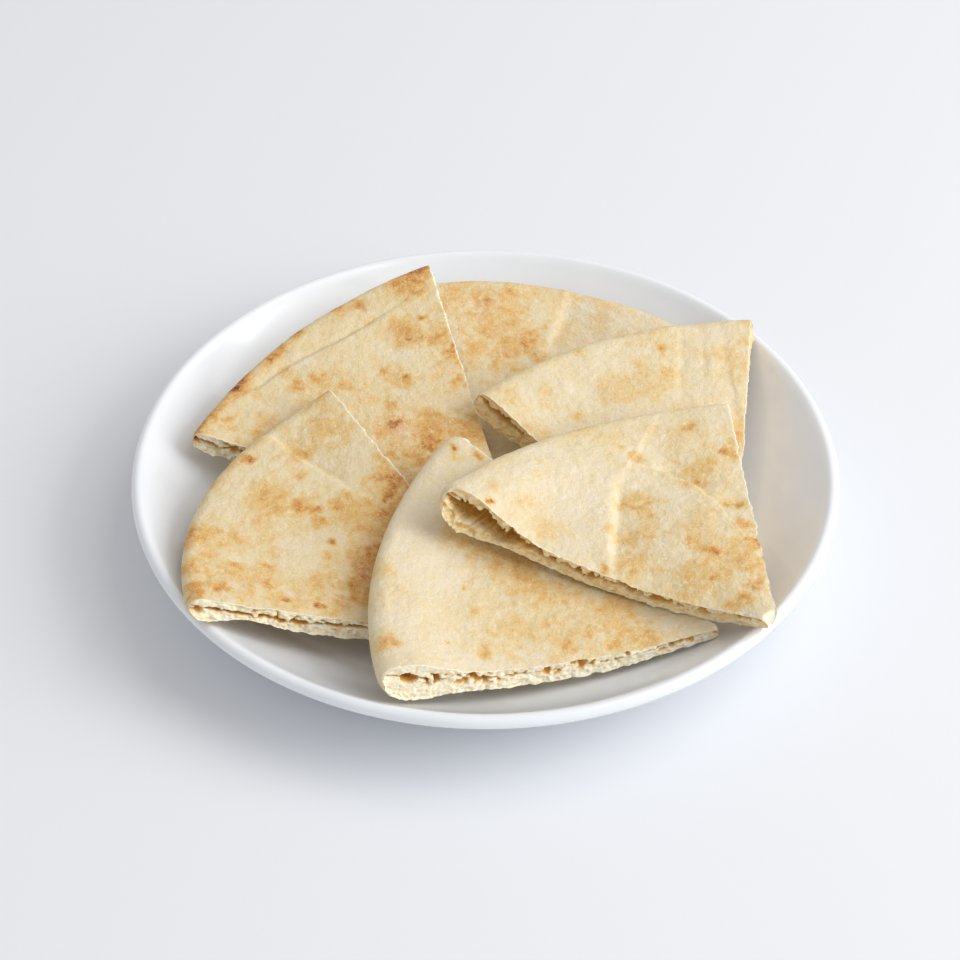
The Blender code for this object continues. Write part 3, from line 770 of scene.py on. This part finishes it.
    def crust_paints(self, u: np.ndarray, v: np.ndarray, w: np.ndarray) -> dict[str, np.ndarray]:
        """Browning, painted shadow and flour on the crusts.

        The top has its own patches over a mottling, some of them painted shadow where another wedge shades
        it, and the underside, which lay on the oven floor, has only mottling and round scorch marks.
        """
        place = self.inside(u, v, w)
        mottle = ease_between(-0.15, 0.85, self.noise.grain(Grain.MOTTLE, place))
        fine = ease_between(0.1, 0.9, self.noise.grain(Grain.FINE_MOTTLE, place))
        toast_and_shadow = self.plan.browning * (0.35 + 0.75 * mottle + 0.35 * fine)
        rim = ease_between(0.93, 1.0, u) * ease_between(-0.2, 0.7, self.noise.grain(Grain.RIM_MOTTLE, place))
        toast_and_shadow = toast_and_shadow + self.plan.rim_browning * rim
        # The patches are browning, and some are painted shadow where one wedge shades another.
        patches = self.patch_paint(u, v, self.plan.toasts_and_shadows)
        scorch = ease_between(0.45, 0.95, self.noise.grain(Grain.SCORCH, place)) * 0.5
        above = w > 0
        toast_and_shadow = np.where(above, np.maximum(toast_and_shadow, patches + 0.3 * toast_and_shadow), toast_and_shadow + 0.08 + scorch)
        speck = ease_between(0.25, 0.9, self.noise.grain(Grain.FLOUR_DUST, place))
        flour = np.where(above, self.patch_paint(u, v, self.plan.flours), 0.0)
        flour = flour * (0.55 + 0.9 * fine) + 0.22 * speck
        return {"toast_and_shadow": toast_and_shadow, "flour": np.where(patches > 0.6, flour * 0.2, flour)}

    def crust_lift(self, u: np.ndarray, v: np.ndarray, w: np.ndarray) -> np.ndarray:
        """Height of the crust over the smooth body: slow waves, blisters, dimples and creases."""
        place = self.inside(u, v, w)
        waves = self.wave_height * self.noise.grain(Grain.WAVES, place)
        blisters = self.blister_height * self.noise.grain(Grain.BLISTERS, place)
        dimples = 0.08 * self.noise.grain(Grain.DIMPLES, place)
        dimples = dimples + 0.05 * self.noise.grain(Grain.SMALL_DIMPLES, place)
        top = waves + blisters + dimples + self.crease_height(u, v)
        bottom = -self.bottom_inset + 0.25 * waves + 0.6 * blisters + dimples
        calm = ease_between(0.0, self.calm_tip, u)
        return np.where(w > 0, top, bottom) * calm

    # ---- the closed surface

    def stations(self) -> tuple[np.ndarray, np.ndarray, np.ndarray]:
        """Walk from the middle of the tip over the top crust to the middle of the rim.

        Returns:
            Three shares for each station: of the tip's quarter round, of the straight run, and of
            the rim's quarter round.
        """
        tip = np.linspace(0.0, 1.0, self.tip_steps + 1)
        run = np.linspace(0.0, 1.0, self.length_steps + 1)[1:]
        rim = np.linspace(0.0, 1.0, self.round_steps + 1)[1:]
        tips = np.concatenate((tip, np.ones(len(run) + len(rim))))
        runs = np.concatenate((np.zeros(len(tip)), run, np.ones(len(rim))))
        rims = np.concatenate((np.zeros(len(tip) + len(run)), rim))
        return tips, runs, rims

    def outline(self, v: np.ndarray) -> tuple[np.ndarray, np.ndarray]:
        """u and w of the upper half of the wedge's section at each v, one row for each station."""
        tips, runs, rims = (share[:, None] for share in self.stations())
        rim_half = self.half_thickness(np.ones_like(v), v)[None, :]
        rim_start = 1 - 1.15 * rim_half / self.length
        start = self.plan.tip_start
        u = start - self.tip_round * np.cos(tips * math.pi / 2)
        u = u + (rim_start - start) * runs
        u = u + (1 - rim_start) * np.sin(rims * math.pi / 2)
        w = np.sin(tips * math.pi / 2) * np.cos(rims * math.pi / 2) ** 0.85
        return u, np.broadcast_to(w, u.shape)

    def across_places(self) -> np.ndarray:
        """Places across the wedge, closer together near the cut sides."""
        even = np.linspace(0.0, 1.0, self.across_steps + 1)
        crowded = 0.5 - 0.5 * np.cos(math.pi * even)
        return 0.5 * even + 0.5 * crowded

    def crust(self) -> dict[str, np.ndarray]:
        """The loop of both crusts, rim and tip, and how it is painted.

        Rows run round the section, over the top crust and back under the bottom one, and columns
        run across from the left cut side to the right one.
        """
        clean = self.across_places()
        upper_u, upper_w = self.outline(clean)
        u = np.concatenate((upper_u, upper_u[-2:0:-1]))
        w = np.concatenate((upper_w, -upper_w[-2:0:-1]))
        v = np.broadcast_to(clean, u.shape)
        left = self.edge_inset(u[:, 0], w[:, 0], Side.LEFT)[:, None]
        right = self.edge_inset(u[:, -1], w[:, -1], Side.RIGHT)[:, None]
        v = v + left * (1 - v) ** 30 - right * v ** 30
        lift = self.crust_lift(u, v, w) * ease_between(0.0, 0.4, np.abs(w))
        points = self.inside(u, v, w) + self.upward(u, v) * (lift * np.sign(w))[..., None]
        paints = self.crust_paints(u, v, w)
        from_cut = np.minimum(clean, 1 - clean) * self.width_at(u)
        crumb = 0.9 * np.exp(-(from_cut / self.crumb_edge) ** 2) * np.where(w > 0, 1.0, 0.4)
        crumb = np.maximum(crumb, 1 - ease_between(-0.5 * self.tip_round, 0.0, u - self.plan.tip_start))
        return {"points": points, "u": u, "crumb": crumb, **paints}

    def cut_side(self, side: Side) -> dict[str, np.ndarray]:
        """One cut side between the crusts, without the edge points that the crusts already have.

        Rows run from the tip to the rim and columns from the top crust to the bottom one.
        """
        edge = np.array([float(side.value)])
        upper_u, upper_w = self.outline(edge)
        share = np.linspace(1.0, -1.0, self.cut_steps + 1)[None, 1:-1]
        u = np.broadcast_to(upper_u[1:-1], (len(upper_u) - 2, share.shape[1]))
        w = upper_w[1:-1] * share
        v = np.full(u.shape, float(side.value))
        depth = self.cut_depth(u, v, w, np.broadcast_to(1 - share ** 2, u.shape), side)
        inset = np.minimum(depth["total"] / self.width_at(u), 0.25)
        inward = v + inset * (1 if side is Side.LEFT else -1)
        points = self.inside(u, inward, w)
        lift = self.crust_lift(u, inward, np.where(w > 0, w, -1.0))
        points = points + self.upward(u, inward) * (lift * w)[..., None]
        return {"points": points, "pocket": depth["pocket"], "pit": depth["pit"]}

    def build(self, material: bpy.types.Material) -> bpy.types.Object:
        """Sew the crust loop and the two cut sides into one closed mesh.

        Returns:
            The wedge's object.
        """
        crust = self.crust()
        rows, columns = crust["u"].shape
        number = np.arange(rows * columns).reshape(rows, columns)
        following = np.roll(number, -1, axis=0)
        loop = np.stack((number[:, :-1], number[:, 1:], following[:, 1:], following[:, :-1]), axis=-1)
        faces = [loop.reshape(-1, 4)]
        points = [crust["points"].reshape(-1, 3)]
        paints = {name: [crust[name].ravel()] for name in ("toast_and_shadow", "flour")}
        paints.update(crumb=[crust["crumb"].ravel()], pocket=[np.zeros(rows * columns)],
                      pit=[np.zeros(rows * columns)])
        half = rows // 2
        for side in Side:
            face = self.cut_side(side)
            inner = face["points"].shape[:2]
            column = 0 if side is Side.LEFT else columns - 1
            first = sum(len(block) for block in points)
            middle = first + np.arange(inner[0] * inner[1]).reshape(inner)
            top = number[1:half, column][:, None]
            bottom = number[:half:-1, column][:, None]
            sheet = np.concatenate((top, middle, bottom), axis=1)
            tip = np.full((1, sheet.shape[1]), number[0, column])
            rim = np.full((1, sheet.shape[1]), number[half, column])
            sheet = np.concatenate((tip, sheet, rim), axis=0)
            quads = np.stack((sheet[:-1, :-1], sheet[1:, :-1], sheet[1:, 1:], sheet[:-1, 1:]), axis=-1)
            if side is Side.RIGHT:
                quads = quads[..., ::-1]
            quads = quads.reshape(-1, 4)
            faces.append(self.fold_corners(quads))
            points.append(face["points"].reshape(-1, 3))
            count = inner[0] * inner[1]
            paints["toast_and_shadow"].append(np.zeros(count))
            paints["flour"].append(np.zeros(count))
            paints["crumb"].append(np.ones(count))
            paints["pocket"].append(face["pocket"].ravel())
            paints["pit"].append(face["pit"].ravel())
        place = np.concatenate(points) * MM
        mesh = make_mesh(self.plan.node + "_baked", self.settle(place), np.concatenate(faces))
        for name, blocks in paints.items():
            paint(mesh, name, np.concatenate(blocks))
        return add_piece(mesh, material, self.plan.node)

    @staticmethod
    def fold_corners(quads: np.ndarray) -> np.ndarray:
        """Turn each quad with a doubled corner into a triangle whose last corner is repeated."""
        result = quads.copy()
        for corner in range(4):
            doubled = quads[:, corner] == quads[:, (corner + 1) % 4]
            order = [(corner + 1 + step) % 4 for step in range(4)]
            turned = quads[doubled][:, order]
            turned[:, 3] = turned[:, 2]
            result[doubled] = turned
        return result

    def settle(self, place: np.ndarray) -> np.ndarray:
        """Centre the wedge's plan on the box of its solid, moving it by half a millimetre at most."""
        low, high = (np.array(corner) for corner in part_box(self.plan.node))
        shift = (low + high) / 2 - (place.min(axis=0) + place.max(axis=0)) / 2
        limit = self.furthest_shift * MM
        shift = np.clip(shift, -limit, limit)
        shift[2] = 0.0
        return place + shift


# ------------------------------------------------------------------ plate

@dataclass
class CoupePlate:
    """White glazed plate: level well, wall that rises ever steeper, round lip, foot ring."""

    rim_radius: float
    rim_top: float
    lip_round: float = 2.0
    well_radius: float = 52.0
    well_height: float = 6.0
    wall_top: float = 25.0
    rise_power: float = 2.3
    wall: float = 4.0
    foot_outer: float = 62.0
    foot_inner: float = 56.0
    foot_round: float = 1.0
    base_recess: float = 1.5
    turn_steps: int = 288
    well_steps: int = 14
    wall_steps: int = 44
    lip_steps: int = 22
    foot_steps: int = 6
    base_steps: int = 12
    lip_arc: Pair = (120.0, -38.0)

    @classmethod
    def from_frame(cls) -> "CoupePlate":
        """Take the rim's radius and height from the plate's solid."""
        low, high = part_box("plate")
        return cls(rim_radius=(high.x - low.x) / 2 / MM, rim_top=(high.z - low.z) / MM)

    def wall_height(self, radius: np.ndarray) -> np.ndarray:
        """Height of the eating surface: level in the well, then a power of the distance from it."""
        lip = self.rim_radius - 2 * self.lip_round
        share = np.clip((radius - self.well_radius) / (lip - self.well_radius), 0.0, None)
        return self.well_height + (self.wall_top - self.well_height) * share ** self.rise_power

    def profile(self) -> np.ndarray:
        """Half section from the middle of the well, over the lip and the foot ring, to the base."""
        lip = self.rim_radius - 2 * self.lip_round
        well = np.linspace(0.0, self.well_radius, self.well_steps)
        wall = np.linspace(self.well_radius, lip, self.wall_steps)[1:]
        upper = np.concatenate((well, wall))
        rows = [np.stack((upper, self.wall_height(upper)), axis=-1)]
        centre = np.array((self.rim_radius - self.lip_round, self.rim_top - self.lip_round))
        turn = np.radians(np.linspace(*self.lip_arc, self.lip_steps))
        rows.append(centre + self.lip_round * np.stack((np.cos(turn), np.sin(turn)), axis=-1))
        back = wall[::-1][2:]
        slope = np.arctan((self.wall_height(back + 0.01) - self.wall_height(back - 0.01)) / 0.02)
        under = np.stack(
            (back + self.wall * np.sin(slope), self.wall_height(back) - self.wall * np.cos(slope)), axis=-1
        )
        rows.append(under[under[:, 0] > self.foot_outer + 0.6])
        bend = np.radians(np.linspace(0.0, -90.0, self.foot_steps))
        round_out = np.stack((np.cos(bend), np.sin(bend)), axis=-1) * self.foot_round
        rows.append(np.array([[self.foot_outer, self.base_recess + 1.0]]))
        rows.append(np.array([self.foot_outer - self.foot_round, self.foot_round]) + round_out)
        round_in = round_out[::-1] * np.array((-1.0, 1.0))
        rows.append(np.array([self.foot_inner + self.foot_round, self.foot_round]) + round_in)
        rows.append(np.array([[self.foot_inner, self.base_recess]]))
        base = np.linspace(self.foot_inner - 0.6, 0.0, self.base_steps)
        rows.append(np.stack((base, np.full_like(base, self.base_recess)), axis=-1))
        return np.concatenate(rows)

    def build(self, material: bpy.types.Material) -> bpy.types.Object:
        """Turn the profile about the axis, with a fan of triangles round each end.

        Returns:
            The plate's object.
        """
        profile = self.profile()
        angle = np.linspace(0.0, 2 * math.pi, self.turn_steps, endpoint=False)
        ring = profile[1:-1]
        radius, height = ring[:, 0][:, None], ring[:, 1][:, None]
        across, deep = radius * np.cos(angle), radius * np.sin(angle)
        grid = np.stack((across, deep, np.broadcast_to(height, across.shape)), axis=-1).reshape(-1, 3)
        ends = np.array([[0.0, 0.0, profile[0, 1]], [0.0, 0.0, profile[-1, 1]]])
        number = np.arange(len(grid)).reshape(len(ring), -1)
        beside = np.roll(number, -1, axis=1)
        skirt = np.stack((number[:-1], number[1:], beside[1:], beside[:-1]), axis=-1).reshape(-1, 4)
        top, base = len(grid), len(grid) + 1
        upper = np.stack((np.full_like(number[0], top), number[0], beside[0], beside[0]), axis=-1)
        lower = np.stack((np.full_like(number[-1], base), beside[-1], number[-1], number[-1]), axis=-1)
        points = np.concatenate((grid, ends))
        mesh = make_mesh("plate_glazed", points * MM, np.concatenate((skirt, upper, lower)))
        reach = np.hypot(points[:, 0], points[:, 1])
        bare = (points[:, 2] < 0.3) & (reach < self.foot_outer) & (reach > self.foot_inner)
        paint(mesh, "bare", bare.astype(float))
        return add_piece(mesh, material, "plate")


# ------------------------------------------------------------------ finishes

class Nodes:
    """A material's node tree, with short ways to add to it."""

    def __init__(self, name: str) -> None:
        """Start a material that has only its shader and output."""
        self.material = bpy.data.materials.new(name)
        self.material.use_nodes = True
        self.tree = self.material.node_tree
        self.shader = self.tree.nodes["Principled BSDF"]

    def add(self, kind: str, **settings: object) -> bpy.types.Node:
        """Add a node and set the named properties on it."""
        node = self.tree.nodes.new(kind)
        for name, value in settings.items():
            setattr(node, name, value)
        return node

    def link(self, source: bpy.types.NodeSocket, target: bpy.types.NodeSocket) -> None:
        """Join an output to an input."""
        self.tree.links.new(source, target)

    def place(self) -> bpy.types.NodeSocket:
        """The piece's own coordinates, in metres."""
        return self.add("ShaderNodeTexCoord").outputs["Object"]

    def paint(self, name: str) -> bpy.types.NodeSocket:
        """A painted number of the mesh."""
        return self.add("ShaderNodeAttribute", attribute_name=name).outputs["Fac"]

    def noise(self, place: bpy.types.NodeSocket, cell: float, detail: float = 3.0,
              rough: float = 0.55) -> bpy.types.NodeSocket:
        """Noise with a cell of that many millimetres, about 0 to 1."""
        node = self.add("ShaderNodeTexNoise")
        node.inputs["Scale"].default_value = 1.0 / (cell * MM)
        node.inputs["Detail"].default_value = detail
        node.inputs["Roughness"].default_value = rough
        self.link(place, node.inputs["Vector"])
        return node.outputs["Fac"]

    def math(self, operation: str, first: object, second: object,
             clamp: bool = False) -> bpy.types.NodeSocket:
        """One sum on sockets or numbers."""
        node = self.add("ShaderNodeMath", operation=operation, use_clamp=clamp)
        for socket, value in zip(node.inputs, (first, second)):
            if isinstance(value, bpy.types.NodeSocket):
                self.link(value, socket)
            else:
                socket.default_value = value
        return node.outputs[0]

    def ramp(self, value: bpy.types.NodeSocket,
             stops: tuple[tuple[float, Colour], ...]) -> bpy.types.NodeSocket:
        """Colours at places from 0 to 1, blended between them."""
        node = self.add("ShaderNodeValToRGB")
        elements = node.color_ramp.elements
        while len(elements) < len(stops):
            elements.new(0.5)
        for element, (position, colour) in zip(elements, stops):
            element.position = position
            element.color = (*colour, 1.0)
        self.link(value, node.inputs["Fac"])
        return node.outputs["Color"]

    def mix(self, share: bpy.types.NodeSocket, first: bpy.types.NodeSocket,
            second: bpy.types.NodeSocket | Colour) -> bpy.types.NodeSocket:
        """Blend two colours, the second of which may be one even colour."""
        node = self.add("ShaderNodeMix", data_type="RGBA")
        self.link(share, node.inputs["Factor"])
        self.link(first, node.inputs["A"])
        if isinstance(second, bpy.types.NodeSocket):
            self.link(second, node.inputs["B"])
        else:
            node.inputs["B"].default_value = (*second, 1.0)
        return node.outputs["Result"]

    def bump(self, height: bpy.types.NodeSocket, depth: float,
             under: bpy.types.NodeSocket | None = None) -> bpy.types.NodeSocket:
        """Relief of that many millimetres on the normal."""
        node = self.add("ShaderNodeBump")
        node.inputs["Distance"].default_value = depth * MM
        self.link(height, node.inputs["Height"])
        if under is not None:
            self.link(under, node.inputs["Normal"])
        return node.outputs["Normal"]


def linear(red: int, green: int, blue: int) -> Colour:
    """A display colour from 0 to 255 as the light that it stands for."""
    def one(value: int) -> float:
        share = value / 255
        return share / 12.92 if share <= 0.04045 else ((share + 0.055) / 1.055) ** 2.4
    return one(red), one(green), one(blue)


@dataclass(frozen=True)
class BakedFinish:
    """Crust and crumb of pita: colour from dough to char, flour, and torn crumb, with painted shadow in some
    crust patches and painted warm shade in the pits and the pocket.
    """

    dough: Colour = linear(232, 219, 193)
    cream: Colour = linear(230, 210, 166)
    golden: Colour = linear(226, 188, 120)
    tan: Colour = linear(212, 153, 76)
    brown: Colour = linear(166, 98, 44)
    char: Colour = linear(104, 58, 32)
    flour: Colour = linear(247, 240, 228)
    crumb: Colour = linear(253, 246, 226)
    crumb_shade: Colour = linear(249, 231, 180)
    # The pocket colours are partly the pocket's own golden colour and partly painted warm shade inside it.
    pocket: Colour = linear(232, 182, 90)
    pocket_deep: Colour = linear(202, 150, 68)
    roughness: float = 0.62
    shine: float = 0.32
    glow: float = 0.22
    glow_spread: Colour = (1.0, 0.62, 0.32)
    glow_depth: float = 1.6
    fine_relief: float = 0.11
    coarse_relief: float = 0.52

    def build(self) -> bpy.types.Material:
        """Make the material.

        Returns:
            A material that reads the wedge's paints and its own coordinates.
        """
        nodes = Nodes("pita_baked")
        place = nodes.place()
        toast_and_shadow = nodes.paint("toast_and_shadow")
        patchy = nodes.noise(place, 4.5, 4.0, 0.62)
        blotch = nodes.noise(place, 2.0, 3.0, 0.6)
        grain = nodes.noise(place, 0.6, 2.0, 0.6)
        broken = nodes.math("ADD", nodes.math("MULTIPLY", blotch, 1.3), 0.35)
        toast_and_shadow = nodes.math("MULTIPLY", toast_and_shadow, broken)
        wander = nodes.math("MULTIPLY", nodes.math("SUBTRACT", patchy, 0.5), 0.30)
        speck = nodes.math("MULTIPLY", nodes.math("SUBTRACT", grain, 0.5), 0.24)
        level = nodes.math("ADD", nodes.math("ADD", toast_and_shadow, wander), speck, clamp=True)
        crust = nodes.ramp(level, (
            (0.0, self.dough), (0.16, self.cream), (0.38, self.golden),
            (0.62, self.tan), (0.88, self.brown), (1.0, self.char),
        ))
        dust = nodes.noise(place, 2.2, 4.0, 0.7)
        flour_share = nodes.math("MULTIPLY", dust, 1.5)
        flour_share = nodes.math("MULTIPLY", nodes.paint("flour"), flour_share, clamp=True)
        crust = nodes.mix(flour_share, crust, nodes.ramp(dust, ((0.0, self.dough), (1.0, self.flour))))
        fleck = nodes.math("SUBTRACT", nodes.noise(place, 0.55, 2.0, 0.7), 0.55)
        fleck = nodes.math("MULTIPLY", fleck, 5.0, clamp=True)
        crust = nodes.mix(nodes.math("MULTIPLY", fleck, 0.65), crust, self.flour)
        cells = nodes.noise(place, 0.7, 3.0, 0.6)
        crumb = nodes.ramp(cells, ((0.30, self.crumb_shade), (0.52, self.crumb)))
        # Painted warm shade: pits, pores and shaded cut sides turn from crumb towards the pocket colour.
        crumb = nodes.mix(nodes.math("MULTIPLY", nodes.paint("pit"), 0.9), crumb,
                          nodes.ramp(cells, ((0.0, self.pocket), (1.0, self.crumb_shade))))
        # Inside the pocket the crumb takes the pocket colours, which carry painted warm shade.
        hollow = nodes.noise(place, 1.8, 3.0, 0.6)
        hollow = nodes.ramp(hollow, ((0.35, self.pocket_deep), (0.62, self.pocket)))
        crumb = nodes.mix(nodes.math("MULTIPLY", nodes.paint("pocket"), 4.0, clamp=True), crumb, hollow)
        colour = nodes.mix(nodes.paint("crumb"), crust, crumb)
        nodes.link(colour, nodes.shader.inputs["Base Color"])
        fine = nodes.bump(nodes.noise(place, 0.6, 2.0, 0.6), self.fine_relief)
        coarse = nodes.bump(nodes.noise(place, 2.1, 3.0, 0.6), self.coarse_relief, fine)
        nodes.link(coarse, nodes.shader.inputs["Normal"])
        nodes.shader.inputs["Roughness"].default_value = self.roughness
        nodes.shader.inputs["Specular IOR Level"].default_value = self.shine
        nodes.shader.inputs["Subsurface Weight"].default_value = self.glow
        nodes.shader.inputs["Subsurface Radius"].default_value = self.glow_spread
        nodes.shader.inputs["Subsurface Scale"].default_value = self.glow_depth * MM
        return nodes.material


@dataclass(frozen=True)
class GlazeFinish:
    """Glossy white glaze, and bare clay on the face of the foot ring."""

    glaze: Colour = linear(244, 247, 251)
    pooled: Colour = linear(238, 242, 247)
    clay: Colour = linear(214, 206, 192)
    roughness: float = 0.13
    unevenness: float = 0.05
    ripple: float = 0.03
    refraction: float = 1.58
    coat: float = 0.25
    coat_roughness: float = 0.03

    def build(self) -> bpy.types.Material:
        """Make the material.

        Returns:
            A material with faint unevenness in colour and relief.
        """
        nodes = Nodes("plate_glaze")
        place = nodes.place()
        tone = nodes.ramp(nodes.noise(place, 30.0, 2.0, 0.5), ((0.3, self.pooled), (0.7, self.glaze)))
        clay = nodes.ramp(nodes.noise(place, 0.8, 2.0, 0.5), ((0.0, self.clay), (1.0, self.pooled)))
        bare = nodes.paint("bare")
        nodes.link(nodes.mix(bare, tone, clay), nodes.shader.inputs["Base Color"])
        matte = nodes.math("MULTIPLY", bare, 0.6)
        uneven = nodes.math("MULTIPLY", nodes.noise(place, 12.0, 2.0, 0.5), self.unevenness)
        nodes.link(nodes.math("ADD", nodes.math("ADD", matte, uneven), self.roughness),
                   nodes.shader.inputs["Roughness"])
        ripples = nodes.bump(nodes.noise(place, 9.0, 1.0, 0.4), self.ripple)
        nodes.link(ripples, nodes.shader.inputs["Normal"])
        nodes.shader.inputs["IOR"].default_value = self.refraction
        nodes.shader.inputs["Coat Weight"].default_value = self.coat
        nodes.shader.inputs["Coat Roughness"].default_value = self.coat_roughness
        return nodes.material


# ------------------------------------------------------------------ studio

@dataclass(frozen=True)
class Lamp:
    """A square soft light that faces the plate: its place and side in metres, and its watts."""

    name: str
    place: tuple[float, float, float]
    side: float
    power: float
    colour: Colour

    def hang(self) -> None:
        """Put the light in the scene."""
        light = bpy.data.lights.new(self.name, "AREA")
        light.size = self.side
        light.energy = self.power
        light.color = self.colour
        lamp = bpy.data.objects.new(self.name, light)
        lamp.location = self.place
        lamp.rotation_euler = (-Vector(self.place)).to_track_quat("-Z", "Y").to_euler()
        bpy.context.scene.collection.objects.link(lamp)


@dataclass
class Studio:
    """Pale floor, soft light from the right, and the camera."""

    lamps: tuple[Lamp, ...] = (
        Lamp("key_light", (1.52, -0.36, 0.90), 1.2, 20.0, (0.98, 0.99, 1.0)),
        Lamp("high_light", (0.94, 0.15, 1.53), 1.2, 7.5, (1.0, 0.99, 0.97)),
    )
    sky_colour: Colour = (1.0, 0.99, 0.985)
    sky_strength: float = 0.555
    floor_size: float = 6.0
    floor_colour: Colour = linear(236, 238, 242)
    camera_elevation: float = 42.2
    camera_distance: float = 0.806
    camera_target: tuple[float, float, float] = (-0.0016, 0.0202, 0.0)
    lens: float = 97.5
    sensor: float = 36.0

    def floor(self) -> None:
        """A wide level floor under the plate, as a grid of one face."""
        half = self.floor_size / 2
        corners = np.array([[-half, -half, 0], [half, -half, 0], [half, half, 0], [-half, half, 0]])
        mesh = make_mesh("studio_floor", corners.astype(float), np.array([[0, 1, 2, 3]]))
        nodes = Nodes("studio_floor")
        nodes.shader.inputs["Base Color"].default_value = (*self.floor_colour, 1.0)
        nodes.shader.inputs["Roughness"].default_value = 0.9
        nodes.shader.inputs["Specular IOR Level"].default_value = 0.1
        mesh.materials.append(nodes.material)
        floor = bpy.data.objects.new("studio_floor", mesh)
        bpy.context.scene.collection.objects.link(floor)

    def lights(self) -> None:
        """Low wide key light on the right, a weaker one higher up, and an even sky."""
        for lamp in self.lamps:
            lamp.hang()
        world = bpy.data.worlds.new("studio_sky")
        world.use_nodes = True
        sky = world.node_tree.nodes["Background"]
        sky.inputs["Color"].default_value = (*self.sky_colour, 1.0)
        sky.inputs["Strength"].default_value = self.sky_strength
        bpy.context.scene.world = world

    def camera(self) -> None:
        """A long lens that looks down on the plate from the front."""
        data = bpy.data.cameras.new("camera")
        data.lens = self.lens
        data.sensor_width = self.sensor
        camera = bpy.data.objects.new("camera", data)
        angle = math.radians(self.camera_elevation)
        target = Vector(self.camera_target)
        back = Vector((0.0, -math.cos(angle), math.sin(angle)))
        camera.location = target + back * self.camera_distance
        camera.rotation_euler = (-back).to_track_quat("-Z", "Y").to_euler()
        bpy.context.scene.collection.objects.link(camera)
        bpy.context.scene.camera = camera

    def build(self) -> None:
        """Set the whole studio."""
        self.floor()
        self.lights()
        self.camera()
        bpy.context.scene.view_settings.view_transform = "Standard"


def main() -> None:
    """Build the studio, the plate and the wedges."""
    logging.basicConfig(level=logging.INFO, format="%(message)s")
    Studio().build()
    CoupePlate.from_frame().build(GlazeFinish().build())
    baked = BakedFinish().build()
    for plan in WEDGE_PLANS:
        PitaWedge(plan).build(baked)


if __name__ == "__main__":
    main()
